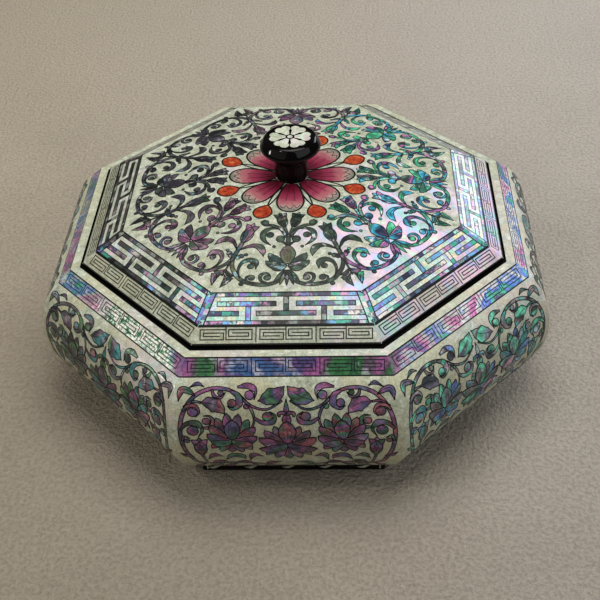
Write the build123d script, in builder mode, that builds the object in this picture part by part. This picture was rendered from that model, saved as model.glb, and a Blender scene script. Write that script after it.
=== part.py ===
"""Octagonal serving box: mitred wooden carcass under shell veneers, lift-off lid, nine lift-out dishes.

The frame is in millimetres with +Z up. The origin is the centre of the plinth's underside.
Sides are numbered 1 to 8 anticlockwise seen from above, and side 1 faces -Y.
Most pieces are one section, drawn outwards and upwards from the box's axis, run along a side
and mitred at both ends.
"""

import os
from math import asin, atan2, cos, degrees, radians, sin, tan

from build123d import *

os.makedirs("parts", exist_ok=True)

# ---- driving dimensions (mm) ----
SIDES = 8
VENEER = 0.8

PLINTH_APOTHEM = 122.0
PLINTH_HEIGHT = 9.0
PLINTH_WIDTH = 16.0
PLINTH_EASING = 0.8

RIM_HEIGHT = 91.0
RIM_APOTHEM = 124.7
SEAT_APOTHEM = 119.9
WELL_APOTHEM = 112.5
SHOULDER_HEIGHT = 83.8
BELLY_APOTHEM = 145.7
BELLY_HEIGHT = 50.5
BELLY_TOP_RADII = (20.0, 35.3)
BELLY_FOOT_RADII = (40.0, 45.5)
BOTTOM_BOARD = 8.0

LID_EDGE_APOTHEM = 118.0
LID_EDGE = 2.0
KEY_TOP = (109.9, RIM_HEIGHT + 7.9)
FRET_TOP = (94.1, RIM_HEIGHT + 17.3)
FIELD_FLAT_APOTHEM = 43.0
FIELD_FLAT_HEIGHT = RIM_HEIGHT + 26.6
LID_WOOD = 6.0
LID_CENTRE_APOTHEM = 5.2
LIP_APOTHEM = 112.0
LIP_WIDTH = 4.0
LIP_DEPTH = 6.0
BLOCK_APOTHEM = 20.0
BLOCK_THICKNESS = 9.0

PETAL_TIP_RADIUS = 36.4
PETAL_HALF_WIDTH = 7.6
DROP_TIP_RADIUS = 45.2
DROP_LENGTH = 13.0
DROP_HALF_WIDTH = 5.2

KNOB_RADIUS = 17.4
KNOB_STEM_RADIUS = 9.8
KNOB_BASE_RADIUS = 9.0
KNOB_SOCKET = 2.5
KNOB_FIT = 0.05
KNOB_NECK_HEIGHT = RIM_HEIGHT + 39.0
KNOB_DISC_HEIGHT = RIM_HEIGHT + 47.0
KNOB_TOP_HEIGHT = RIM_HEIGHT + 52.6
KNOB_EDGE_IN = 1.4
KNOB_EDGE_RISE = 3.2
KNOB_UNDER_IN = 3.7
KNOB_UNDER_DROP = 4.0
KNOB_FLAT_RADIUS = 12.6
DOWEL_RADIUS = 4.0
DOWEL_CLEARANCE = 0.05
DOWEL_DEPTH = 12.0
KNOB_PETALS = 6
KNOB_PETAL_TIP = 11.6
KNOB_PETAL_ROOT = 2.5
KNOB_PETAL_ROOT_HALF_WIDTH = 1.0
KNOB_PETAL_LOBE = 2.6
KNOB_PETAL_SPREAD = 1.95
KNOB_FLOWER_EYE = 1.5
KNOB_FLOWER_INLAY = 0.5

DISH_APOTHEM = 111.5
DISH_HEIGHT = 62.0
DISH_WALL = 3.0
DISH_FLOOR = 3.0
DISH_GAP = 1.0
DISH_CORNER = 4.0
CENTRE_DISH_APOTHEM = 43.0

# ---- worked out from them ----
TURN = 360.0 / SIDES
HALF_TURN = TURN / 2
BELLY_TOP_CENTRE = (BELLY_APOTHEM - BELLY_TOP_RADII[0], BELLY_HEIGHT)
BELLY_FOOT_CENTRE = (BELLY_APOTHEM - BELLY_FOOT_RADII[0], BELLY_HEIGHT)
SHOULDER_ANGLE = degrees(asin((SHOULDER_HEIGHT - BELLY_HEIGHT) / BELLY_TOP_RADII[1]))
FLOOR_TOP = PLINTH_HEIGHT + BOTTOM_BOARD
LID_LINE = [
    (LID_EDGE_APOTHEM, RIM_HEIGHT + LID_EDGE), KEY_TOP, FRET_TOP,
    (FIELD_FLAT_APOTHEM, FIELD_FLAT_HEIGHT), (0.0, FIELD_FLAT_HEIGHT)]
KNOB_SEAT = FIELD_FLAT_HEIGHT - KNOB_SOCKET


def outward(index):
    """The unit vector from the box's axis to the middle of a side."""
    angle = radians(index * TURN - 90)
    return Vector(cos(angle), sin(angle), 0)


def side_plane(index):
    """The upright plane through the middle of a side: x runs outwards and y upwards."""
    out = outward(index)
    return Plane(origin=(0, 0, 0), x_dir=out, z_dir=out.cross(Vector(0, 0, 1)))


def mitre(index, gap=0.0):
    """Cuts the part being built at the two mitres of its side, each held half a gap inside."""
    for turn in (-1, 1):
        inwards = outward(index).rotate(Axis.Z, turn * (HALF_TURN - 90))
        split(bisect_by=Plane(origin=inwards * gap / 2, z_dir=inwards), keep=Keep.TOP)


def side_length(apothem):
    return 2 * apothem * tan(radians(HALF_TURN))


def sunk(line, depth):
    """The line moved down square to itself by depth, with its two ends kept at their apothems."""
    slopes = [atan2(b[1] - a[1], a[0] - b[0]) for a, b in zip(line, line[1:])]
    moved = [(line[0][0], line[0][1] - depth / cos(slopes[0]))]
    for corner, before, after in zip(line[1:], slopes, slopes[1:]):
        middle = (before + after) / 2
        reach = depth / cos((before - after) / 2)
        moved.append((corner[0] - reach * sin(middle), corner[1] - reach * cos(middle)))
    moved.append((line[-1][0], line[-1][1] - depth / cos(slopes[-1])))
    return moved


def belly(depth):
    """Draws the bulge from the shoulder down to the plinth, sunk by a depth, and gives its ends."""
    foot_angle = degrees(asin((PLINTH_HEIGHT - BELLY_HEIGHT) / (BELLY_FOOT_RADII[1] - depth)))
    upper = EllipticalCenterArc(
        BELLY_TOP_CENTRE, BELLY_TOP_RADII[0] - depth, BELLY_TOP_RADII[1] - depth,
        start_angle=SHOULDER_ANGLE, arc_size=-SHOULDER_ANGLE)
    lower = EllipticalCenterArc(
        BELLY_FOOT_CENTRE, BELLY_FOOT_RADII[0] - depth, BELLY_FOOT_RADII[1] - depth,
        start_angle=0, arc_size=foot_angle)
    return flat_point(upper @ 0), flat_point(lower @ 1)


def flat_point(point):
    return (point.X, point.Y)


def belly_point(depth, angle):
    """The point of the upper ellipse, sunk by a depth, at an angle."""
    return (
        BELLY_TOP_CENTRE[0] + (BELLY_TOP_RADII[0] - depth) * cos(radians(angle)),
        BELLY_TOP_CENTRE[1] + (BELLY_TOP_RADII[1] - depth) * sin(radians(angle)),
    )


SHOULDER = belly_point(0, SHOULDER_ANGLE)
SHOULDER_BACK = belly_point(VENEER, SHOULDER_ANGLE)
SHOULDER_SLOPE = atan2(RIM_HEIGHT - SHOULDER[1], SHOULDER[0] - RIM_APOTHEM)
RIM_EDGE = (RIM_APOTHEM, RIM_HEIGHT)
RIM_EDGE_BACK = (RIM_APOTHEM - VENEER * tan(SHOULDER_SLOPE / 2), RIM_HEIGHT - VENEER)


def write(part, name):
    part.label = name
    export_step(part, f"parts/{name}.step")


def write_group(parts, name):
    write(Compound(children=parts), name)


def straight_strip(index, outline):
    """A strip of one polygonal section along a side, mitred at both ends."""
    with BuildPart() as strip:
        with BuildSketch(side_plane(index)):
            with BuildLine():
                Polyline(*outline, close=True)
            make_face()
        extrude(amount=side_length(max(a for a, _ in outline)) / 2, both=True)
        mitre(index)
    strip.part.label = f"strip_{index + 1}"
    return strip.part


# ---- plinth and bottom board ----
def plinth_rail(index):
    """One plinth rail, with its lower outer edge eased."""
    inner = PLINTH_APOTHEM - PLINTH_WIDTH
    return straight_strip(index, [
        (inner, 0),
        (PLINTH_APOTHEM - PLINTH_EASING, 0),
        (PLINTH_APOTHEM, PLINTH_EASING),
        (PLINTH_APOTHEM, PLINTH_HEIGHT),
        (inner, PLINTH_HEIGHT),
    ])


write_group([plinth_rail(i) for i in range(SIDES)], "foot_rails")

with BuildPart() as bottom_board:
    with BuildSketch(Plane.XY.offset(PLINTH_HEIGHT)):
        RegularPolygon(WELL_APOTHEM, SIDES, major_radius=False, rotation=HALF_TURN)
    extrude(amount=BOTTOM_BOARD)
write(bottom_board.part, "bottom_board")

# ---- wall staves and their shell veneers ----
for i in range(SIDES):
    with BuildPart() as side_panel:
        with BuildSketch(side_plane(i)):
            with BuildLine():
                top, foot = belly(VENEER)
                Polyline(
                    top, RIM_EDGE_BACK, (SEAT_APOTHEM, RIM_HEIGHT - VENEER),
                    (SEAT_APOTHEM, RIM_HEIGHT), (WELL_APOTHEM, RIM_HEIGHT),
                    (WELL_APOTHEM, PLINTH_HEIGHT), foot)
            make_face()
        extrude(amount=side_length(BELLY_APOTHEM) / 2, both=True)
        mitre(i)
    write(side_panel.part, f"side_panel_{i + 1}")

    with BuildPart() as side_veneer:
        with BuildSketch(side_plane(i)):
            with BuildLine():
                outer_top, outer_foot = belly(0)
                inner_top, inner_foot = belly(VENEER)
                Line(outer_top, inner_top)
                Line(outer_foot, inner_foot)
            make_face()
        extrude(amount=side_length(BELLY_APOTHEM) / 2, both=True)
        mitre(i)
    write(side_veneer.part, f"side_veneer_{i + 1}")

write_group(
    [straight_strip(i, [SHOULDER, RIM_EDGE, RIM_EDGE_BACK, SHOULDER_BACK]) for i in range(SIDES)],
    "shoulder_strips")
write_group(
    [straight_strip(i, [
        RIM_EDGE, (SEAT_APOTHEM, RIM_HEIGHT), (SEAT_APOTHEM, RIM_HEIGHT - VENEER), RIM_EDGE_BACK,
    ]) for i in range(SIDES)],
    "ledge_strips")

# ---- lid: rails, top boards, lip ----
def knob_socket():
    """Cuts the round socket that the knob's foot stands in out of the part being built."""
    with Locations((0, 0, KNOB_SEAT)):
        Cylinder(
            KNOB_BASE_RADIUS + KNOB_FIT, KNOB_SOCKET + LID_WOOD,
            align=(Align.CENTER, Align.CENTER, Align.MIN), mode=Mode.SUBTRACT)


LID_BACK = sunk(LID_LINE, VENEER)
LID_UNDER = sunk(LID_LINE, LID_WOOD)
lip_inner = LIP_APOTHEM - LIP_WIDTH

for i in range(SIDES):
    rail = straight_strip(i, [
        (LID_EDGE_APOTHEM, RIM_HEIGHT), LID_BACK[0], LID_BACK[1], LID_BACK[2],
        LID_UNDER[2], LID_UNDER[1], (lip_inner, RIM_HEIGHT),
    ])
    write(rail, f"lid_rail_{i + 1}")
    with BuildPart() as lid_panel:
        add(straight_strip(i, [
            LID_BACK[2], LID_BACK[3], (LID_CENTRE_APOTHEM, FIELD_FLAT_HEIGHT - VENEER),
            (LID_CENTRE_APOTHEM, FIELD_FLAT_HEIGHT - LID_WOOD), LID_UNDER[3], LID_UNDER[2],
        ]))
        knob_socket()
    write(lid_panel.part, f"lid_panel_{i + 1}")

write_group(
    [straight_strip(i, [
        (lip_inner, RIM_HEIGHT), (LIP_APOTHEM, RIM_HEIGHT),
        (LIP_APOTHEM, RIM_HEIGHT - LIP_DEPTH), (lip_inner, RIM_HEIGHT - LIP_DEPTH),
    ]) for i in range(SIDES)],
    "lid_lip")

# ---- lid: shell strips and sheets ----
write_group(
    [straight_strip(i, [LID_LINE[0], LID_LINE[1], LID_BACK[1], LID_BACK[0]]) for i in range(SIDES)],
    "key_strips")
write_group(
    [straight_strip(i, [LID_LINE[1], LID_LINE[2], LID_BACK[2], LID_BACK[1]]) for i in range(SIDES)],
    "fret_strips")


def field_sheet(index):
    """The whole shell layer of one facet, before the flower's pieces are let into it."""
    with BuildPart() as sheet:
        add(straight_strip(index, [
            LID_LINE[2], LID_LINE[3], (LID_CENTRE_APOTHEM, FIELD_FLAT_HEIGHT),
            (LID_CENTRE_APOTHEM, FIELD_FLAT_HEIGHT - VENEER), LID_BACK[3], LID_BACK[2],
        ]))
        knob_socket()
    return sheet.part


def petal_outline(direction):
    """Draws one petal seen from above, from the knob's stem to its rounded tip."""
    across = direction.rotate(Axis.Z, 90)
    half = [
        (KNOB_BASE_RADIUS, 0.36), (PETAL_TIP_RADIUS * 0.4, 0.7), (PETAL_TIP_RADIUS * 0.7, 1.0),
        (PETAL_TIP_RADIUS * 0.92, 0.72), (PETAL_TIP_RADIUS, 0.0),
    ]
    right = [direction * r + across * (PETAL_HALF_WIDTH * w) for r, w in half]
    left = [direction * r - across * (PETAL_HALF_WIDTH * w) for r, w in half]
    Spline(*right)
    Spline(*left)
    Line(right[0], left[0])


def drop_outline(direction):
    """Draws one drop seen from above: round outer end, point towards the knob."""
    across = direction.rotate(Axis.Z, 90)
    round_centre = direction * (DROP_TIP_RADIUS - DROP_HALF_WIDTH)
    point = direction * (DROP_TIP_RADIUS - DROP_LENGTH)
    side = across * DROP_HALF_WIDTH
    ThreePointArc(round_centre + side, direction * DROP_TIP_RADIUS, round_centre - side)
    Line(round_centre - side, point)
    Line(point, round_centre + side)


def cutter(outline, direction):
    """An upright bar of one outline, tall enough to pass through the lid's field."""
    with BuildPart() as bar:
        with BuildSketch(Plane.XY.offset(RIM_HEIGHT)):
            with BuildLine():
                outline(direction)
            make_face()
        extrude(amount=FIELD_FLAT_HEIGHT - RIM_HEIGHT + VENEER)
    return bar.part


petal_bars = [cutter(petal_outline, outward(i)) for i in range(SIDES)]
drop_bars = [cutter(drop_outline, outward(i + 0.5)) for i in range(SIDES)]
field_sheets = []
petals = []
drop_halves = [[] for _ in range(SIDES)]
for i in range(SIDES):
    with BuildPart() as petal:
        add(field_sheet(i))
        add(petal_bars[i], mode=Mode.INTERSECT)
    petals.append(petal.part)
    for neighbour in (i - 1, i):
        with BuildPart() as drop_half:
            add(field_sheet(i))
            add(drop_bars[neighbour], mode=Mode.INTERSECT)
        drop_halves[neighbour].append(drop_half.part)
    with BuildPart() as sheet:
        add(field_sheet(i))
        add([petal_bars[i], drop_bars[i - 1], drop_bars[i]], mode=Mode.SUBTRACT)
    field_sheets.append(sheet.part)

drops = []
for halves in drop_halves:
    with BuildPart() as drop:
        add(halves)
    drops.append(drop.part)

write_group(field_sheets, "field_sheets")
write_group(petals, "flower_petals")
write_group(drops, "flower_drops")

# ---- lid: centre block, knob, dowel and the knob's flower ----
block_top = FIELD_FLAT_HEIGHT - LID_WOOD
dowel_top = KNOB_SEAT + DOWEL_DEPTH
with BuildPart() as lid_block:
    with BuildSketch(Plane.XY.offset(block_top - BLOCK_THICKNESS)):
        RegularPolygon(BLOCK_APOTHEM, SIDES, major_radius=False, rotation=HALF_TURN)
        Circle(DOWEL_RADIUS + DOWEL_CLEARANCE, mode=Mode.SUBTRACT)
    extrude(amount=BLOCK_THICKNESS)
write(lid_block.part, "lid_block")

with BuildPart() as knob_dowel:
    with BuildSketch(Plane.XY.offset(block_top - BLOCK_THICKNESS)):
        Circle(DOWEL_RADIUS)
    extrude(amount=dowel_top - (block_top - BLOCK_THICKNESS))
write(knob_dowel.part, "knob_dowel")


def knob_flower_faces():
    """Draws the flower's pieces: notched petals of two round lobes each, and a round eye."""
    lobe_reach = KNOB_PETAL_TIP - KNOB_PETAL_LOBE
    shoulder = KNOB_PETAL_SPREAD + KNOB_PETAL_LOBE * 0.7
    for petal_index in range(KNOB_PETALS):
        tip = Vector(1, 0, 0).rotate(Axis.Z, petal_index * 360 / KNOB_PETALS)
        across = tip.rotate(Axis.Z, 90)
        Polygon(
            tip * KNOB_PETAL_ROOT - across * KNOB_PETAL_ROOT_HALF_WIDTH, tip * lobe_reach - across * shoulder,
            tip * lobe_reach + across * shoulder, tip * KNOB_PETAL_ROOT + across * KNOB_PETAL_ROOT_HALF_WIDTH,
            align=None)
        with Locations(
            tip * lobe_reach - across * KNOB_PETAL_SPREAD, tip * lobe_reach + across * KNOB_PETAL_SPREAD):
            Circle(KNOB_PETAL_LOBE)
    Circle(KNOB_FLOWER_EYE)


with BuildPart() as knob:
    with BuildSketch(Plane.XZ):
        with BuildLine():
            Polyline(
                (0, KNOB_TOP_HEIGHT), (0, dowel_top), (DOWEL_RADIUS + DOWEL_CLEARANCE, dowel_top),
                (DOWEL_RADIUS + DOWEL_CLEARANCE, KNOB_SEAT), (KNOB_BASE_RADIUS, KNOB_SEAT),
                (KNOB_BASE_RADIUS, KNOB_SEAT + KNOB_SOCKET))
            Spline(
                (KNOB_BASE_RADIUS, KNOB_SEAT + KNOB_SOCKET),
                (KNOB_STEM_RADIUS, (KNOB_SEAT + KNOB_SOCKET + KNOB_NECK_HEIGHT) / 2),
                (KNOB_STEM_RADIUS, KNOB_NECK_HEIGHT - 1),
                (KNOB_RADIUS - KNOB_UNDER_IN, KNOB_DISC_HEIGHT - KNOB_UNDER_DROP),
                (KNOB_RADIUS, KNOB_DISC_HEIGHT),
                (KNOB_RADIUS - KNOB_EDGE_IN, KNOB_DISC_HEIGHT + KNOB_EDGE_RISE),
                (KNOB_FLAT_RADIUS, KNOB_TOP_HEIGHT),
                tangents=[(0.4, 1), (-1, 0)])
            Line((KNOB_FLAT_RADIUS, KNOB_TOP_HEIGHT), (0, KNOB_TOP_HEIGHT))
        make_face()
    revolve(axis=Axis.Z)
    with BuildSketch(Plane.XY.offset(KNOB_TOP_HEIGHT - KNOB_FLOWER_INLAY)):
        knob_flower_faces()
    extrude(amount=KNOB_FLOWER_INLAY, mode=Mode.SUBTRACT)
write(knob.part, "knob")

with BuildPart() as knob_flower:
    with BuildSketch(Plane.XY.offset(KNOB_TOP_HEIGHT - KNOB_FLOWER_INLAY)):
        knob_flower_faces()
    extrude(amount=KNOB_FLOWER_INLAY)
write(knob_flower.part, "knob_flower")


# ---- lift-out dishes ----
DISH_BASE = Plane.XY.offset(FLOOR_TOP)
DISH_INSIDE = Plane.XY.offset(FLOOR_TOP + DISH_FLOOR)

with BuildPart() as centre_dish:
    with BuildSketch(DISH_BASE):
        RegularPolygon(CENTRE_DISH_APOTHEM, SIDES, major_radius=False, rotation=HALF_TURN)
    extrude(amount=DISH_HEIGHT)
    with BuildSketch(DISH_INSIDE):
        RegularPolygon(CENTRE_DISH_APOTHEM - DISH_WALL, SIDES, major_radius=False, rotation=HALF_TURN)
    extrude(amount=DISH_HEIGHT, mode=Mode.SUBTRACT)
write(centre_dish.part, "centre_dish")


def outer_dish_outline(index, inset):
    """Draws an outer dish's four sides with rounded corners, a distance inside its outer face."""
    out = outward(index)
    across = out.rotate(Axis.Z, 90)
    near = CENTRE_DISH_APOTHEM + DISH_GAP + inset
    far = DISH_APOTHEM - inset
    side_inset = (DISH_GAP / 2 + inset) / cos(radians(HALF_TURN))
    near_half = near * tan(radians(HALF_TURN)) - side_inset
    far_half = far * tan(radians(HALF_TURN)) - side_inset
    FilletPolyline(
        out * near + across * near_half, out * near - across * near_half,
        out * far - across * far_half, out * far + across * far_half,
        radius=DISH_CORNER - inset / 2, close=True)


for i in range(SIDES):
    with BuildPart() as outer_dish:
        with BuildSketch(DISH_BASE):
            with BuildLine():
                outer_dish_outline(i, 0)
            make_face()
        extrude(amount=DISH_HEIGHT)
        with BuildSketch(DISH_INSIDE):
            with BuildLine():
                outer_dish_outline(i, DISH_WALL)
            make_face()
        extrude(amount=DISH_HEIGHT, mode=Mode.SUBTRACT)
    write(outer_dish.part, f"outer_dish_{i + 1}")
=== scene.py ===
"""Looks of the octagonal nine-dish box: shell inlay, lacquer, floor, light and camera.

The shell ornament is drawn flat in millimetres, x along a side as seen from outside and y down or
outwards, and then laid on the lid's facets, its bands and the bulging sides as thin closed slabs.
"""

import itertools
import math
import random

import bpy
import numpy as np
from mathutils import Matrix, Vector


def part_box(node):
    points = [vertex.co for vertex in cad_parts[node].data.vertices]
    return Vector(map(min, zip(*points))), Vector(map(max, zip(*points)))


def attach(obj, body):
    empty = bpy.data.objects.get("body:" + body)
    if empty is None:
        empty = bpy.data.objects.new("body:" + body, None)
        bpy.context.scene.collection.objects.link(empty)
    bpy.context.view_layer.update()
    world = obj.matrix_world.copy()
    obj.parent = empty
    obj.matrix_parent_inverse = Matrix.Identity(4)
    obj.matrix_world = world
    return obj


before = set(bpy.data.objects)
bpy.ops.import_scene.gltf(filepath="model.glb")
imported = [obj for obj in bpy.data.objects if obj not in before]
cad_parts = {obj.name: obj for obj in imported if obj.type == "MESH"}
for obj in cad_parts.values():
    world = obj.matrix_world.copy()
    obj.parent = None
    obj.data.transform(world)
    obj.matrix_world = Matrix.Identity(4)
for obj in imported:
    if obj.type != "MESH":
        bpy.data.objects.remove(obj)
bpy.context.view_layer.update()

MM = 0.001
SIDES = 8
TURN = math.tau / SIDES
RIM_HEIGHT = 0.091


def add_object(name, data):
    """A new object in the scene."""
    made = bpy.data.objects.new(name, data)
    bpy.context.scene.collection.objects.link(made)
    return made


# ---- camera ----

CAMERA_REACH = 0.649
CAMERA_RISE = math.radians(40.2)
CAMERA_AIM = (0.0007, -0.0522)
BOX_YAW = math.radians(-3.75)
BOX_ROLL = math.radians(-3.09)
FOCAL_LENGTH = 65.4


def make_camera():
    """A camera that looks down at the lid from the front, a little round to one side."""
    forward = Vector((0, math.cos(CAMERA_RISE), -math.sin(CAMERA_RISE)))
    right = Vector((1, 0, 0))
    up = right.cross(forward)
    place = -forward * CAMERA_REACH + right * CAMERA_AIM[0] + up * CAMERA_AIM[1]
    tilted_right = right * math.cos(BOX_ROLL) + up * math.sin(BOX_ROLL)
    tilted_up = up * math.cos(BOX_ROLL) - right * math.sin(BOX_ROLL)
    turn = Matrix.Rotation(-BOX_YAW, 3, "Z")
    axes = Matrix([turn @ tilted_right, turn @ tilted_up, turn @ -forward]).transposed()
    data = bpy.data.cameras.new("camera")
    data.lens = FOCAL_LENGTH
    camera = add_object("camera", data)
    camera.matrix_world = Matrix.Translation(turn @ place + Vector((0, 0, RIM_HEIGHT))) @ axes.to_4x4()
    bpy.context.scene.camera = camera


make_camera()


# ---- materials ----

class Paint:
    """A material in the making: its nodes, its shader's inputs and the place being painted."""

    def __init__(self, name):
        self.material = bpy.data.materials.new(name)
        self.material.use_nodes = True
        self.tree = self.material.node_tree
        self.shader = self.tree.nodes["Principled BSDF"].inputs
        self.where = self.tree.nodes.new("ShaderNodeTexCoord").outputs["Object"]

    def add(self, kind, inputs, output=0, **settings):
        """An output of a new node, each of whose inputs is a value or another node's output."""
        node = self.tree.nodes.new(kind)
        for key, value in settings.items():
            setattr(node, key, value)
        for key, value in inputs.items():
            if isinstance(value, bpy.types.NodeSocket):
                self.tree.links.new(value, node.inputs[key])
            else:
                node.inputs[key].default_value = value
        return node.outputs[output]

    def maths(self, operation, a, b=0.0):
        return self.add("ShaderNodeMath", {0: a, 1: b}, operation=operation)

    def times(self, a, b):
        return self.maths("MULTIPLY", a, b)

    def plus(self, a, b):
        return self.maths("ADD", a, b)

    def vector(self, operation, a, b, output=0):
        return self.add("ShaderNodeVectorMath", {0: a, 1: b}, output, operation=operation)

    def noise(self, scale, detail=2, rough=0.5, distortion=0, where=None):
        return self.add("ShaderNodeTexNoise", {
            "Vector": where or self.where, "Scale": scale, "Detail": detail, "Roughness": rough,
            "Distortion": distortion}, "Fac")

    def blend(self, factor, a, b, mode="MIX"):
        return self.add("ShaderNodeMix", {0: factor, 6: a, 7: b}, 2, data_type="RGBA", blend_type=mode)

    def ramp(self, factor, stops):
        """A colour ramp: stops are (position, red, green, blue) or (position, grey) in thousandths."""
        ramp = self.tree.nodes.new("ShaderNodeValToRGB")
        self.tree.links.new(factor, ramp.inputs[0])
        ramp.color_ramp.interpolation = "EASE"
        elements = ramp.color_ramp.elements
        elements.remove(elements[-1])
        for index, stop in enumerate(stops):
            position, *colour = [number / 1000 for number in stop]
            element = elements.new(position) if index else elements[0]
            element.position = position
            element.color = (*(colour * 3)[:3], 1)
        return ramp.outputs[0]

    def shade(self, colour, weight, factor, *stops):
        """The colour darkened or lightened by a ramp."""
        return self.blend(weight, colour, self.ramp(factor, stops), "MULTIPLY")

    def step(self, factor, low, high):
        """0 at low and 1 at high, smooth between; low may be the larger."""
        return self.add("ShaderNodeMapRange", {
            "Value": factor, "From Min": min(low, high), "From Max": max(low, high),
            "To Min": float(low > high), "To Max": float(low < high)}, interpolation_type="SMOOTHSTEP")

    def span(self, factor, low, high):
        """From low at 0 to high at 1."""
        return self.add("ShaderNodeMapRange", {"Value": factor, "To Min": low, "To Max": high})

    def along(self, axis):
        return self.add("ShaderNodeSeparateXYZ", {"Vector": self.where}, axis)

    def tone(self):
        """The piece's own random number."""
        return self.add("ShaderNodeAttribute", {}, "Fac", attribute_name="tone")

    def painted_sheen(self, centres):
        """A painted sheen: 1 near the centres, 0 far from them, broken up by noise."""
        ragged = self.times(self.maths("SUBTRACT", self.noise(45, 3), 0.5), SHEEN_RAGGED)
        total = 0.0
        for centre_at, near, far in centres:
            away = self.vector("DISTANCE", self.where, centre_at, "Value")
            total = self.maths("MAXIMUM", self.step(self.plus(away, ragged), far, near), total)
        return total

    def finish(self, colour, roughness, bump=None, coat=None, specular=None, coat_roughness=0.1):
        """Sets the shader: bump is (height, strength, distance), the coat is clear polished lacquer."""
        self.tree.links.new(colour, self.shader["Base Color"])
        if isinstance(roughness, float):
            self.shader["Roughness"].default_value = roughness
        else:
            self.tree.links.new(roughness, self.shader["Roughness"])
        if coat is not None:
            self.shader["Coat Weight"].default_value = coat
            self.shader["Coat Roughness"].default_value = coat_roughness
        if specular is not None:
            self.shader["Specular IOR Level"].default_value = specular
        if bump:
            height, strength, distance = bump
            self.tree.links.new(self.add("ShaderNodeBump", {
                "Height": height, "Strength": strength, "Distance": distance}), self.shader["Normal"])
        return self.material


# where a sheen is painted on the shell and on the lid's pale ground: (centre, inner reach, outer reach)
PAINTED_SHEENS = (
    ((0.088, -0.022, 0.095), 0.035, 0.115), ((-0.072, -0.114, 0.088), 0.012, 0.04),
    ((0.043, -0.104, 0.104), 0.006, 0.03), ((-0.041, -0.104, 0.104), 0.008, 0.036))
GROUND_PAINTED_SHEENS = (
    ((0.062, -0.056, 0.1), 0.01, 0.052), ((0.103, -0.03, 0.095), 0.006, 0.036),
    ((-0.072, -0.114, 0.088), 0.012, 0.04), ((0.043, -0.104, 0.104), 0.006, 0.03))
SHEEN_RAGGED = 0.15

POLISHED_COAT = 0.35
TONE_SHIFT = 0.5

# each abalone: how fine its clouds are, how much it glints, and its colours as stops of a ramp
ABALONE = {
    "green": (52, 0.5, [
        (280, 9, 13, 10), (400, 17, 32, 22), (480, 60, 105, 66), (550, 20, 23, 20), (620, 19, 63, 58),
        (700, 135, 145, 76), (800, 85, 50, 66)]),
    # a bright palette of painted sheen, for the lid's right-hand facets
    "vivid_sheen": (46, 0.6, [
        (260, 15, 38, 34), (360, 30, 150, 100), (430, 80, 480, 250), (480, 50, 130, 110),
        (530, 60, 420, 600), (580, 26, 45, 98), (640, 480, 170, 420), (700, 45, 60, 53),
        (780, 200, 360, 300)]),
    "plum": (50, 0.5, [
        (280, 27, 22, 27), (370, 64, 48, 64), (440, 260, 100, 190), (500, 56, 96, 60),
        (560, 300, 180, 240), (620, 48, 104, 120), (690, 88, 56, 128), (780, 180, 160, 160)]),
    # a dark palette of painted shade, for the lid's left-hand facets
    "dark": (52, 0.35, [
        (280, 11, 12, 13), (400, 32, 32, 38), (500, 63, 54, 76), (580, 41, 63, 45), (660, 108, 90, 108),
        (760, 54, 72, 90)]),
    "rose": (42, 0.2, [
        (280, 60, 45, 55), (360, 70, 150, 90), (420, 110, 100, 200), (480, 290, 100, 210),
        (530, 100, 90, 130), (580, 320, 100, 130), (640, 70, 210, 140), (710, 180, 130, 240),
        (800, 420, 300, 180)]),
    "emerald": (42, 0.45, [
        (280, 50, 60, 70), (360, 190, 170, 230), (420, 150, 580, 390), (470, 60, 95, 85),
        (520, 270, 210, 220), (570, 100, 360, 350), (620, 150, 240, 580), (680, 45, 55, 90),
        (760, 640, 380, 480)]),
    "olive": (42, 0.35, [
        (280, 45, 42, 42), (370, 120, 95, 110), (430, 110, 240, 110), (480, 55, 50, 62),
        (530, 170, 120, 150), (580, 70, 290, 300), (630, 60, 60, 70), (690, 300, 130, 220),
        (780, 560, 440, 260)]),
}
BAND_SHELL = [
    (300, 30, 70, 60), (380, 35, 150, 50), (430, 110, 80, 110), (480, 280, 90, 230), (530, 80, 55, 170),
    (580, 45, 110, 270), (640, 170, 160, 240), (720, 340, 170, 220)]
LIVELY_SHEEN_BAND_SHELL = [
    (320, 130, 130, 260), (400, 100, 640, 400), (460, 160, 300, 900), (520, 780, 840, 800),
    (580, 920, 280, 620), (640, 260, 200, 460), (720, 240, 800, 560)]
GLINT_SHELL = [
    (340, 200, 620, 450), (440, 420, 700, 850), (500, 850, 880, 840), (570, 880, 560, 780),
    (680, 560, 850, 720)]
PALE_BLOCKS = [
    (100, 442, 478, 368), (300, 589, 607, 497), (500, 662, 662, 570), (700, 506, 561, 478),
    (900, 736, 754, 681)]
PALE_BLOCKS_SHEEN = [
    (80, 424, 784, 615), (220, 827, 848, 848), (360, 530, 657, 933), (500, 912, 636, 784),
    (620, 615, 657, 530), (740, 933, 869, 551), (880, 657, 933, 848)]
DARK_BLOCKS = [
    (50, 13, 14, 13), (200, 39, 46, 36), (340, 78, 58, 65), (480, 58, 78, 65), (600, 29, 23, 23),
    (740, 169, 143, 150), (880, 325, 351, 312), (970, 19, 21, 19)]
DARK_BLOCKS_SHEEN = [
    (50, 80, 70, 170), (200, 80, 550, 380), (330, 300, 160, 620), (460, 220, 580, 950),
    (580, 100, 90, 160), (700, 880, 420, 740), (800, 400, 900, 760), (880, 140, 110, 170),
    (960, 920, 850, 800)]


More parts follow.
